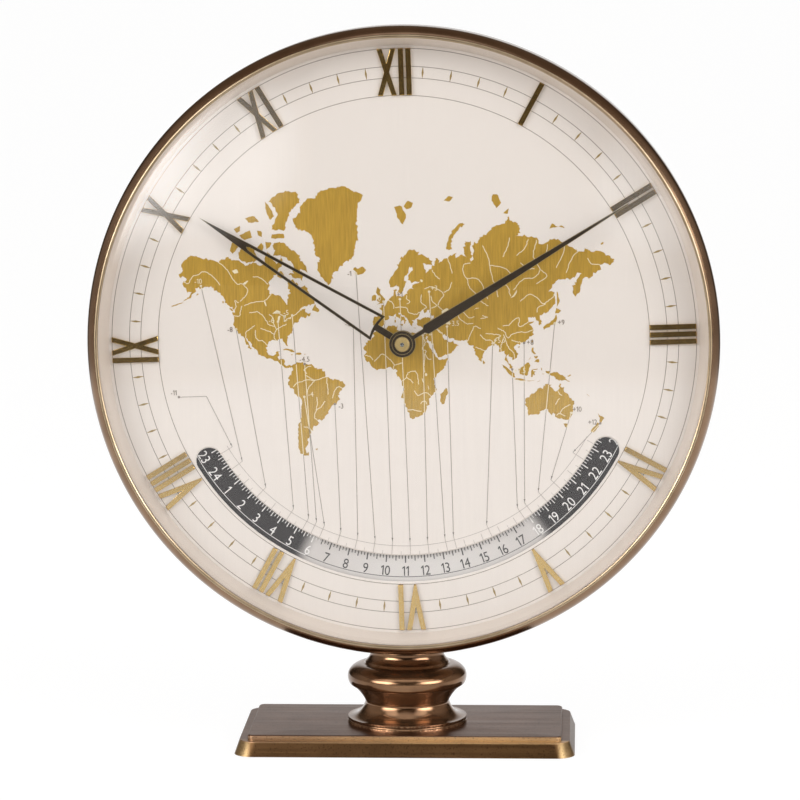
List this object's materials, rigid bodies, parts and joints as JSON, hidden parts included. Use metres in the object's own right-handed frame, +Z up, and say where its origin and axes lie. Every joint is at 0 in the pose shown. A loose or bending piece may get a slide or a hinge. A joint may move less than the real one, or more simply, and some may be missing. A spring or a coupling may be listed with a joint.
{
  "type": "world time clock",
  "caption": "Round world time table clock on a turned pedestal: domed crystal, Roman numerals, map dial and a 24-hour disc behind an arc window, with key-wound movement.",
  "frame": {"origin": "middle of the underside, under the pedestal's axis", "axes": "+Z up, the dial faces -Y, +X to the right as seen from the front"},
  "size_m": [0.25, 0.0885, 0.29],
  "materials": {
    "satin_bronze": "satin brushed, browned",
    "felt": "felt sheet",
    "polished_bronze": "polished, browned",
    "lacquered_case": "spun and lacquered",
    "crystal_glass": "clear domed",
    "silvered_ring": "fine turned",
    "cream_dial": "silk matt",
    "polished_brass": "polished",
    "printed_disc": "printed, silk matt",
    "browned_hands": "browned, bright edges",
    "movement_brass": "grained",
    "bright_steel": "ground",
    "blued_spring": "blued"
  },
  "bodies": {
    "clock_body": {"base_plate": "satin_bronze", "base_felt": "felt", "pedestal": "polished_bronze", "stand_bolt": "bright_steel", "stand_nut": "bright_steel", "saddle_washer": "bright_steel", "case_cup": "lacquered_case", "bezel": "polished_bronze", "crystal": "crystal_glass", "dial_flange": "silvered_ring", "dial_plate": "cream_dial", "hour_numerals": "polished_brass", "rear_cover": "lacquered_case", "cover_screws": "bright_steel", "movement_posts": "movement_brass", "post_screws": "bright_steel", "front_plate": "movement_brass", "back_plate": "movement_brass", "plate_pillars": "movement_brass", "pillar_screws": "bright_steel", "click_screw": "bright_steel", "click_spring": "bright_steel", "hairspring": "blued_spring", "balance_cock": "movement_brass", "cock_screw": "bright_steel", "minute_stud": "bright_steel", "zone_stud": "bright_steel"},
    "minute_hand": {"centre_arbor": "bright_steel", "cannon_pinion": "bright_steel", "minute_hand": "browned_hands", "hand_nut": "polished_brass", "setting_knob": "polished_brass"},
    "hour_hand": {"hour_wheel": "movement_brass", "zone_drive_pinion": "movement_brass", "hour_hand": "browned_hands"},
    "minute_wheel": {"minute_wheel": "movement_brass"},
    "zone_wheel": {"zone_wheel": "movement_brass"},
    "hour_disc": {"disc_wheel": "movement_brass", "hour_disc": "printed_disc"},
    "barrel": {"barrel": "movement_brass", "barrel_cover": "movement_brass", "mainspring": "blued_spring"},
    "winding": {"barrel_arbor": "bright_steel", "ratchet_wheel": "bright_steel", "winding_key": "bright_steel"},
    "click": {"click": "bright_steel"},
    "intermediate_wheel": {"intermediate_wheel": "movement_brass"},
    "centre_wheel": {"centre_wheel": "movement_brass"},
    "third_wheel": {"third_wheel": "movement_brass"},
    "fourth_wheel": {"fourth_wheel": "movement_brass"},
    "escape_wheel": {"escape_wheel": "movement_brass"},
    "pallet_lever": {"pallet_lever": "bright_steel"},
    "balance_wheel": {"balance_wheel": "movement_brass"},
    "regulator": {"regulator": "bright_steel"}
  },
  "joints": [
    {"name": "minute_hand_turn", "type": "hinge", "parent": "clock_body", "child": "minute_hand", "pos_m": [0, 0, 0.165], "axis": [0, 1, 0], "continuous": true},
    {"name": "hour_hand_turn", "type": "hinge", "parent": "clock_body", "child": "hour_hand", "pos_m": [0, 0, 0.165], "axis": [0, 1, 0], "continuous": true},
    {"name": "minute_wheel_turn", "type": "hinge", "parent": "clock_body", "child": "minute_wheel", "pos_m": [-0.01559, 0, 0.174], "axis": [0, 1, 0], "continuous": true},
    {"name": "zone_wheel_turn", "type": "hinge", "parent": "clock_body", "child": "zone_wheel", "pos_m": [0.01559, 0, 0.174], "axis": [0, 1, 0], "continuous": true},
    {"name": "hour_disc_turn", "type": "hinge", "parent": "clock_body", "child": "hour_disc", "pos_m": [0, 0, 0.165], "axis": [0, 1, 0], "continuous": true},
    {"name": "third_wheel_turn", "type": "hinge", "parent": "clock_body", "child": "third_wheel", "pos_m": [0.008, 0, 0.17886], "axis": [0, 1, 0], "continuous": true},
    {"name": "centre_wheel_turn", "type": "hinge", "parent": "clock_body", "child": "centre_wheel", "pos_m": [0, 0, 0.165], "axis": [0, 1, 0], "continuous": true},
    {"name": "intermediate_wheel_turn", "type": "hinge", "parent": "clock_body", "child": "intermediate_wheel", "pos_m": [0.01243, 0, 0.15077], "axis": [0, 1, 0], "continuous": true},
    {"name": "barrel_turn", "type": "hinge", "parent": "clock_body", "child": "barrel", "pos_m": [-0.00787, 0, 0.14339], "axis": [0, 1, 0], "continuous": true},
    {"name": "fourth_wheel_turn", "type": "hinge", "parent": "clock_body", "child": "fourth_wheel", "pos_m": [-0.00447, 0, 0.18606], "axis": [0, 1, 0], "continuous": true},
    {"name": "escape_wheel_turn", "type": "hinge", "parent": "clock_body", "child": "escape_wheel", "pos_m": [-0.018, 0, 0.18113], "axis": [0, 1, 0], "continuous": true},
    {"name": "winding_turn", "type": "hinge", "parent": "clock_body", "child": "winding", "pos_m": [-0.00787, 0, 0.14339], "axis": [0, 1, 0], "range_deg": [0, 2160]},
    {"name": "click_lift", "type": "hinge", "parent": "clock_body", "child": "click", "pos_m": [0.00435, 0, 0.14783], "axis": [0, 1, 0], "range_deg": [0, 12], "stiffness_Nm_per_rad": 0.0001, "springref_deg": -11.46},
    {"name": "pallet_rock", "type": "hinge", "parent": "clock_body", "child": "pallet_lever", "pos_m": [-0.02294, 0, 0.17409], "axis": [0, 1, 0], "range_deg": [-4, 4]},
    {"name": "balance_swing", "type": "hinge", "parent": "clock_body", "child": "balance_wheel", "pos_m": [-0.02924, 0, 0.16508], "axis": [0, 1, 0], "range_deg": [-135, 135], "stiffness_Nm_per_rad": 0.000005},
    {"name": "regulator_set", "type": "hinge", "parent": "clock_body", "child": "regulator", "pos_m": [-0.02924, 0, 0.16508], "axis": [0, 1, 0], "range_deg": [-20, 20]}
  ],
  "couplings": [
    {"joint": "minute_wheel_turn", "follows": "minute_hand_turn", "ratio": -0.33333},
    {"joint": "hour_hand_turn", "follows": "minute_hand_turn", "ratio": 0.083333},
    {"joint": "zone_wheel_turn", "follows": "minute_hand_turn", "ratio": -0.041667},
    {"joint": "hour_disc_turn", "follows": "minute_hand_turn", "ratio": 0.013889},
    {"joint": "centre_wheel_turn", "follows": "third_wheel_turn", "ratio": -0.14286},
    {"joint": "intermediate_wheel_turn", "follows": "third_wheel_turn", "ratio": 0.02381},
    {"joint": "barrel_turn", "follows": "third_wheel_turn", "ratio": -0.0047619},
    {"joint": "fourth_wheel_turn", "follows": "third_wheel_turn", "ratio": -7},
    {"joint": "escape_wheel_turn", "follows": "third_wheel_turn", "ratio": 56}
  ]
}
